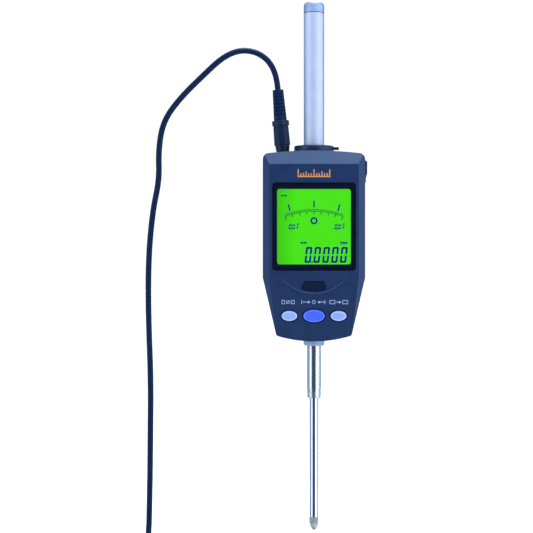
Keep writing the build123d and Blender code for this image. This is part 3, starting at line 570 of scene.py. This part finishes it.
def arc_band(radius, centre_z, half_angle, thick, count=40):
    """Curved band as a closed outline."""
    outer, inner = [], []
    for index in range(count + 1):
        angle = -half_angle + 2 * half_angle * index / count
        for line, r in ((outer, radius + thick / 2), (inner, radius - thick / 2)):
            line.append((r * math.sin(angle), centre_z + r * math.cos(angle)))
    return outer + inner[::-1]


def oval_ring(x, z, half_width, half_height, thick, count=48):
    """Oval ring as four-sided pieces side by side."""
    quads = []
    for index in range(count):
        a, b = (2 * math.pi * k / count for k in (index, index + 1))
        quad = []
        for inset, angle in ((0, a), (0, b), (thick, b), (thick, a)):
            across, up = half_width - inset, half_height - inset
            quad.append((x + across * math.cos(angle), z + up * math.sin(angle)))
        quads.append(quad)
    return quads


SEGMENTS = {"0": "abcdef", "1": "bc"}


def digit(text, left, low, width, height, thick, slant=0.117):
    """Slanted seven-segment figure."""
    gap = thick * 0.12
    inner = thick / 2
    right, top, middle = left + width, low + height, low + height / 2
    ends = {
        "a": ((left + gap, top - inner), (right - gap, top - inner)),
        "d": ((left + gap, low + inner), (right - gap, low + inner)),
        "f": ((left + inner, middle + gap), (left + inner, top - gap)),
        "e": ((left + inner, low + gap), (left + inner, middle - gap)),
        "b": ((right - inner, middle + gap), (right - inner, top - gap)),
        "c": ((right - inner, low + gap), (right - inner, middle - gap)),
    }
    shapes = [bar(*ends[segment], thick) for segment in SEGMENTS[text]]
    return [[(x + (z - low) * slant, z) for x, z in shape] for shape in shapes]


def letter_m(left, low, width, height, thick):
    """Small square m: three posts under a bar."""
    right = left + width
    top = low + height - thick / 2
    posts = [stroke((x, low), (x, low + height), thick) for x in (left, (left + right) / 2, right)]
    return posts + [stroke((left, top), (right, top), thick)]


# ---- display content ---------------------------------------------------------------------------------------

INK_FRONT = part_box("lcd_glass")[0].y / MM  # the segments lie on the glass
INK_DEPTH = 0.06
READING_LEFT = -5.5
READING_LOW = 59.9
READING_PITCH = 5.0
READING_FIGURE = (3.65, 9.1, 1.15)  # width, height and stroke
LABEL_LEFTS = (-14.5, 11.4)
LABEL_BASE = 79.0
LABEL_FIGURE = (1.7, 2.7, 0.56)
LABEL_LAST_FIGURE = (1.4, 3.5, 0.75)
SCALE_R = 46.9
SCALE_TOP = 89.6
SCALE_BAND = 1.15
SCALE_LINE = 0.3
SCALE_CENTRE = SCALE_TOP - SCALE_R
SCALE_HALF = math.asin(16.5 / SCALE_R)
GRADUATIONS = 9
LIMIT_MARKS = (-0.785, 0, 0.785)  # where they stand, as shares of the scale's half
POINTER_Z = 83.75
POINTER_R = 2.05
POINTER_STROKE = 0.95
UNIT_LEFTS = (15.1, 17.2)
UNIT_LOW = 70.3
UNIT_SIZE = 1.55
UNIT_STROKE = 0.46


def reading():
    """Large figures 0.0000 at the lower right."""
    shapes = []
    for index in range(5):
        shapes += digit("0", READING_LEFT + READING_PITCH * index, READING_LOW, *READING_FIGURE)
    point_z = READING_LOW + 0.4
    shapes.append(stroke((-1.6, point_z), (-0.65, point_z), 0.8))
    return shapes


def small_labels():
    """The two ends of the scale read 0.01."""
    shapes = []
    for left in LABEL_LEFTS:
        shapes += digit("0", left, LABEL_BASE, *LABEL_FIGURE)
        shapes += digit("0", left + 2.0, LABEL_BASE, *LABEL_FIGURE)
        shapes.append(stroke((left + 1.4, LABEL_BASE - 0.4), (left + 1.85, LABEL_BASE - 0.4), 0.65))
        shapes += digit("1", left + 3.9, LABEL_BASE + 0.1, *LABEL_LAST_FIGURE, 0.2)
    return shapes


def radial(angle, near, length, width):
    """Stroke along a radius of the scale."""
    direction = Vector((math.sin(angle), math.cos(angle)))
    start = Vector((0, SCALE_CENTRE)) + direction * near
    return stroke(start, start + direction * length, width)


def scale_band():
    """Pale curved band between two fine lines."""
    return [arc_band(SCALE_R, SCALE_CENTRE, SCALE_HALF, SCALE_BAND - SCALE_LINE)]


def scale_marks():
    """The band's two lines and the graduations under it, of which the first and last are longer."""
    edges = (SCALE_R - SCALE_BAND / 2, SCALE_R + SCALE_BAND / 2)
    shapes = [arc_band(radius, SCALE_CENTRE, SCALE_HALF, SCALE_LINE) for radius in edges]
    last = GRADUATIONS - 1
    for index in range(GRADUATIONS):
        angle = -SCALE_HALF + 2 * SCALE_HALF * index / last
        length = 2.2 if index in (0, last) else 1.6
        shapes.append(radial(angle, SCALE_R - 0.5, -length, 0.6))
    return shapes


def limit_marks():
    """Three strokes over the scale."""
    return [radial(SCALE_HALF * share, SCALE_R + 1.65, 3.8, 0.8) for share in LIMIT_MARKS]


def icons():
    """Plain pictograms: a store arrow at the top left, a both-ways arrow over the figures."""
    shapes = [stroke((-18.3, 97.3), (-18.3, 98.6), 0.4)] + arrow((-18.0, 97.95), (-15.0, 97.95), 0.5, 1.0)
    for tip_x in (-3.7, -7.9):
        shapes += arrow((-5.8, 71.25), (tip_x, 71.25), 0.55, 1.2)
    return shapes


def unit_letters():
    """The unit mm."""
    shapes = []
    for left in UNIT_LEFTS:
        shapes += letter_m(left, UNIT_LOW, UNIT_SIZE, UNIT_SIZE, UNIT_STROKE)
    return shapes


def lcd_piece(name, outlines, ink=segment_ink):
    """Part of the display's content, as a film on the glass."""
    flat_piece(name, outlines, INK_FRONT - INK_DEPTH, INK_DEPTH, ink)


lcd_piece("lcd_reading", reading())
lcd_piece("lcd_scale_labels", small_labels())
lcd_piece("lcd_scale", scale_marks(), faint_ink)
lcd_piece("lcd_scale_band", scale_band(), band_ink)
lcd_piece("lcd_limit_marks", limit_marks())
lcd_piece("lcd_pointer", oval_ring(0, POINTER_Z, POINTER_R, POINTER_R, POINTER_STROKE))
lcd_piece("lcd_icons", icons())
lcd_piece("lcd_unit", unit_letters())

# ---- print on the housing, and the keys --------------------------------------------------------------------

PRINT_DEPTH = 0.05
KEY_Z = 30.0
KEYS = {  # middle, half width, half height, body, material
    "mode_button": (-13.9, 4.4, 2.85, "mode_key", "key_pale"),
    "set_button": (0.0, 6.05, 3.6, "set_key", "key_blue"),
    "data_button": (13.9, 4.4, 2.85, "data_key", "key_pale"),
}
KEY_SIDES = 72
# A key's profile as pairs: inset from its outline, and height over the panel.
KEY_EDGE = [(0.0, -1.6), (0.0, 0.05), (0.07, 0.3), (0.2, 0.5), (0.4, 0.64), (0.6, 0.7), (0.8, 0.66)]
KEY_DISH = [(1.1, 0.6), (1.7, 0.55), (2.4, 0.53)]
GAP_OUTSIDE = 0.7  # how far the dark ring round a key reaches past the key
GAP_WIDTH = 0.66
GAP_DEPTH = 0.02
LABEL_LOW = 6.75  # along the panel, above the middle of the keys
LABEL_HEIGHT = 2.3
LABEL_PEN = 0.36
MARK_LOW = 108.6
MARK_HALF = 9.3
MARK_STEPS = 12
panel = Matrix.Translation(mm(0, FRONT + (SHOULDER_Z - KEY_Z) * math.tan(PANEL_TILT), KEY_Z))
panel = panel @ Matrix.Rotation(PANEL_TILT, 4, "X")


def face_mark():
    """Plain orange mark over the window: a short rule with its graduations."""
    shapes = [stroke((-MARK_HALF, MARK_LOW), (MARK_HALF, MARK_LOW), 0.75)]
    end = MARK_HALF - 0.4
    for index in range(MARK_STEPS + 1):
        x = -end + 2 * end * index / MARK_STEPS
        height = 4.0 if index % 6 == 0 else 2.9 if index % 3 == 0 else 1.9
        shapes.append(stroke((x, MARK_LOW + 0.3), (x, MARK_LOW + height), 0.62))
    return shapes


def key_labels():
    """Pictograms over the keys: change of page, set to nought, send out."""
    low, high, pen = LABEL_LOW, LABEL_LOW + LABEL_HEIGHT, LABEL_PEN
    middle = (low + high) / 2
    shapes = []
    for left, width in ((-18.3, 2.0), (-12.9, 2.0), (8.8, 3.2), (16.0, 3.2)):
        shapes += frame_outline(left, low, width, LABEL_HEIGHT, pen)
    shapes += arrow((-15.9, high - 0.6), (-13.3, high - 0.6), pen, 0.8)
    shapes += arrow((-13.3, low + 0.6), (-15.9, low + 0.6), pen, 0.8)
    for start_x, end_x in ((-7.0, -1.9), (6.2, 1.9), (12.4, 15.6)):
        shapes += arrow((start_x, middle), (end_x, middle), pen, 1.2)
    shapes += oval_ring(0, middle, 0.95, LABEL_HEIGHT / 2, pen)
    return shapes + [stroke((x, low), (x, high), pen) for x in (-7.0, 6.2)]


def key_piece(name, x, half_width, half_height, body_name, slot):
    """Key cap with a rounded rim in a lighter copy of its material, a painted highlight, and a slightly
    dished top, on the panel's plane.
    """
    body = bmesh.new()
    rings = []
    for inset, height in KEY_EDGE + KEY_DISH:
        across, up = half_width - inset, half_height - inset
        places = [(x + across * math.cos(a), -height, up * math.sin(a)) for a in angles(KEY_SIDES)]
        rings.append([body.verts.new(mm(*place)) for place in places])
    for row, (outer, inner) in enumerate(zip(rings, rings[1:])):
        for face in band_faces(body, outer, inner):
            # The rim's rows take the lighter copy, a painted highlight.
            face.material_index = 1 if row < len(KEY_EDGE) - 1 else 0
    body.faces.new(rings[-1])
    body.faces.new(rings[0][::-1])
    mesh = mesh_from(body, name + "_cap", panel)
    for face in mesh.polygons:
        face.use_smooth = len(face.vertices) == 4
    mesh.materials.append(materials[slot])
    mesh.materials.append(rim_highlight_materials[slot])
    piece = add_object(name + "_cap", mesh)
    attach(piece, body_name)
    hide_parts(name)


def chin_edge():
    """Fine raised bead along the lower edge of the crescent under the display, in a lighter copy of the
    housing's colour: a painted highlight on that edge.
    """
    half_angle = math.acos((CHIN_LOW + CHIN_R - SHOULDER_Z) / CHIN_R)
    steps = 48
    curve, spline = round_curve("chin_edge", "POLY", steps + 1, 4)
    for index, place in enumerate(spline.points):
        share = 2 * index / steps - 1
        angle = half_angle * share
        x, z = CHIN_R * math.sin(angle), CHIN_LOW + CHIN_R * (1 - math.cos(angle))
        place.co = (*mm(x, FRONT + 0.1, z), 1.0)
        place.radius = CHIN_BEAD * (1 - 0.6 * abs(share) ** 3) * MM
    bead = add_object("chin_edge", curve)
    curve.materials.append(chin_edge_highlight_material)
    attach(bead, "case")


chin_edge()
flat_piece("face_mark", face_mark(), FRONT - PRINT_DEPTH, PRINT_DEPTH, mark_ink)
flat_piece("key_labels", key_labels(), -PRINT_DEPTH, PRINT_DEPTH, print_ink, panel)
# Each key gets a dark ring on the panel, painted shade of its gap.
gaps = []
for name, (x, half_width, half_height, body_name, slot) in KEYS.items():
    key_piece(name, x, half_width, half_height, body_name, slot)
    gaps += oval_ring(x, 0, half_width + GAP_OUTSIDE, half_height + GAP_OUTSIDE, GAP_WIDTH)
flat_piece("key_gap_shade_rings", gaps, -GAP_DEPTH, GAP_DEPTH, gap_shade, panel)

# ---- knurled contact and cap washer ------------------------------------------------------------------------

KNURL_ROWS = 12
KNURL_SIDES = 72
KNURL_DEPTH = 0.2
GRIP_LENGTH = 3.3
STUD_LENGTH = 5.0  # out of sight inside the spindle


def contact_piece():
    """Contact point with a diamond-knurled grip, a cone and the rim that holds the ball."""
    low, high = (corner.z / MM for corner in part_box("contact_point"))
    grip_high = high - STUD_LENGTH
    grip_low = grip_high - GRIP_LENGTH
    row_height = (grip_high - grip_low - 0.3) / KNURL_ROWS
    stud = [(1.25, high), (1.25, grip_high), (2.35, grip_high), (2.6, grip_high - 0.2)]
    knurl = [(2.68, grip_high - 0.3 - row_height * row) for row in range(KNURL_ROWS + 1)]
    nose = [(2.5, grip_low - 0.12), (2.42, grip_low - 0.35), (1.98, low + 0.15), (1.85, low), (1.5, low)]
    body = bmesh.new()
    rings = []
    for radius, z in stud + knurl + nose:
        ring = []
        for index, angle in enumerate(angles(KNURL_SIDES)):
            grooved = (radius, z) in knurl and (index + len(rings)) % 2
            r = radius - KNURL_DEPTH if grooved else radius
            ring.append(body.verts.new(mm(r * math.cos(angle), r * math.sin(angle), z)))
        rings.append(ring)
    for above, below in zip(rings, rings[1:]):
        band_faces(body, above, below)
    body.faces.new(rings[0])
    body.faces.new(rings[-1][::-1])
    piece = add_object("knurled_contact", mesh_from(body, "knurled_contact"))
    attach(piece, "spindle")
    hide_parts("contact_point")
    dress(piece, slots["contact_point"])


def ring_line(name, body_name, radius, z, width, material):
    """Fine band round an upright part, proud of it by a hair."""
    inner, outer, low, high = radius - 0.3, radius + 0.02, z - width / 2, z + width / 2
    body = bmesh.new()
    rings = []
    for r, height in ((inner, high), (outer, high), (outer, low), (inner, low)):
        rings.append([body.verts.new(mm(r * math.cos(a), r * math.sin(a), height)) for a in angles(96)])
    for near, far in zip(rings, rings[1:] + rings[:1]):
        band_faces(body, near, far)
    mesh = mesh_from(body, name)
    mesh.materials.append(material)
    piece = add_object(name, mesh)
    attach(piece, body_name)


contact_piece()

# ---- rounded edges -----------------------------------------------------------------------------------------

EDGE_WIDTHS = {
    "front_case": 0.55,
    "rear_case": 0.4,
    "back_plate": 0.3,
    "tube_flange": 0.3,
    "stem": 0.15,
    "stem_nose": 0.12,
    "lower_bush": 0.1,
    "spindle_tube": 0.15,
    "tube_cap": 0.2,
    "cord_socket": 0.25,
    "plug_nose": 0.25,
    "plug_barrel": 0.18,
    "plug_ring": 0.3,
    "strain_relief": 0.2,
    "port_cover": 0.12,
    "case_screws": 0.12,
    "frame_screws": 0.12,
    "back_plate_screws": 0.12,
    "coil_tie": 0.25,
    "connector_body": 0.3,
    "connector_boot": 0.3,
    "receiver_window": 0.15,
}
COLLAR_DROP = 17.5  # from the stem's top to the collar's lower end
COLLAR_HEIGHT = 4.2
SEAM_SHADE_HEIGHT = 0.45
rounded = {shell: rounded_copy(shell, width) for shell, width in EDGE_WIDTHS.items()}

# The stem's collar is turned, not ground: its faces have a duller finish.
collar_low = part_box("stem")[1].z / MM - COLLAR_DROP
rounded["stem"].data.materials.append(collar_satin)
for face in rounded["stem"].data.polygons:
    if collar_low - 0.1 < face.center.z / MM < collar_low + COLLAR_HEIGHT + 0.1:
        face.material_index = 1

# The cap is anodised a shade deeper than the tube, and the nose under the stem is turned a little coarser.
rounded["tube_cap"].material_slots[0].material = cap_anodised
rounded["stem_nose"].material_slots[0].material = nose_satin

# A dark ring at the seam where the cap meets the tube, riding with the cap, is painted shade of that seam.
cap_low, cap_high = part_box("tube_cap")
seam_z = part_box("spindle_tube")[1].z / MM
cap_radius = (cap_high.x - cap_low.x) / 2 / MM
ring_line("cap_seam_shade_ring", "tube_cap", cap_radius, seam_z, SEAM_SHADE_HEIGHT, cap_seam_painted_shade)

# ---- floor, world and light --------------------------------------------------------------------------------

SOFTBOXES = {  # place, width and height in metres, radiance, colour
    "left_softbox": ((-0.75, -0.45, 0.06), (0.6, 1.5), 1.45, (1, 1, 1)),
    "right_softbox": ((0.75, -0.45, 0.06), (0.95, 1.5), 1.7, (1, 1, 1)),
    "top_softbox": ((0.0, -0.43, 0.96), (0.9, 0.4), 3.5, (0.5, 0.77, 1.0)),
    "left_rim": ((-0.75, 0.25, 0.10), (0.35, 1.2), 0.4, (0.55, 0.78, 1.0)),
    "right_rim": ((0.75, 0.25, 0.10), (0.35, 1.2), 0.7, (0.6, 0.8, 1.0)),
}
LIGHT_TARGET = (0, 0, 0.06)  # metres, the middle of the instrument
FLOOR_HALF = 12.0  # metres


def soft_light(name, place, size, radiance, color):
    """Area light that points at the middle of the instrument, as bright as radiance seen from there."""
    data = bpy.data.lights.new(name, "AREA")
    data.shape = "RECTANGLE"
    data.size, data.size_y = size
    data.energy = radiance * math.pi * size[0] * size[1]
    data.color = color
    light = add_object(name, data)
    light.location = place
    aim = Vector(LIGHT_TARGET) - Vector(place)
    light.rotation_euler = aim.to_track_quat("-Z", "Y").to_euler()


def sun_light(name, strength, angle):
    """Soft light from nearly overhead, which makes the floor white."""
    data = bpy.data.lights.new(name, "SUN")
    data.energy = strength
    data.angle = angle
    light = add_object(name, data)
    light.rotation_euler = (math.radians(-8), math.radians(4), 0)


def build_stage():
    """Pale floor at the height of the surface that the coil lies on."""
    mesh = bpy.data.meshes.new("floor")
    corners = [(x * FLOOR_HALF, y * FLOOR_HALF, BENCH * MM) for x, y in ((-1, -1), (1, -1), (1, 1), (-1, 1))]
    mesh.from_pydata(corners, [], [(0, 1, 2, 3)])
    floor = add_object("floor", mesh)
    floor.visible_glossy = False
    floor_pale, _, _ = new_material("floor_pale", (0.9, 0.9, 0.9, 1), 0.9, specular=0.0)
    mesh.materials.append(floor_pale)


def build_world():
    """White where the camera looks past the instrument; as light, slate in front and pale blue behind."""
    world = bpy.data.worlds.new("studio")
    bpy.context.scene.world = world
    world.use_nodes = True
    tree = world.node_tree
    seen = tree.nodes["Background"]
    seen.inputs["Color"].default_value = (1.0, 1.0, 1.0, 1)
    seen.inputs["Strength"].default_value = 1.05
    room = tree.nodes.new("ShaderNodeBackground")
    room.inputs["Strength"].default_value = 1.0
    source = tree.nodes.new("ShaderNodeTexCoord")
    split = tree.nodes.new("ShaderNodeSeparateXYZ")
    tree.links.new(source.outputs["Generated"], split.inputs["Vector"])
    behind = remap(tree, split.outputs["Y"], -1, 1, 0, 1)
    below = remap(tree, split.outputs["Z"], -0.45, -0.8, 0, 1)
    paler = combine(tree, "MAXIMUM", behind, below)
    ramp = color_ramp(tree, paler, (0.055, 0.085, 0.15, 1), (0.25, 0.37, 0.58, 1), 0.35, 0.75)
    tree.links.new(ramp.outputs["Color"], room.inputs["Color"])
    path = tree.nodes.new("ShaderNodeLightPath")
    mix = tree.nodes.new("ShaderNodeMixShader")
    tree.links.new(path.outputs["Is Camera Ray"], mix.inputs["Fac"])
    tree.links.new(room.outputs["Background"], mix.inputs[1])
    tree.links.new(seen.outputs["Background"], mix.inputs[2])
    tree.links.new(mix.outputs["Shader"], tree.nodes["World Output"].inputs["Surface"])


build_stage()
build_world()
sun_light("sun", 3.4, 0.6)
for name, (place, size, radiance, color) in SOFTBOXES.items():
    soft_light(name, place, size, radiance, color)
bpy.context.scene.view_settings.view_transform = "Standard"
bpy.context.scene.view_settings.look = "None"
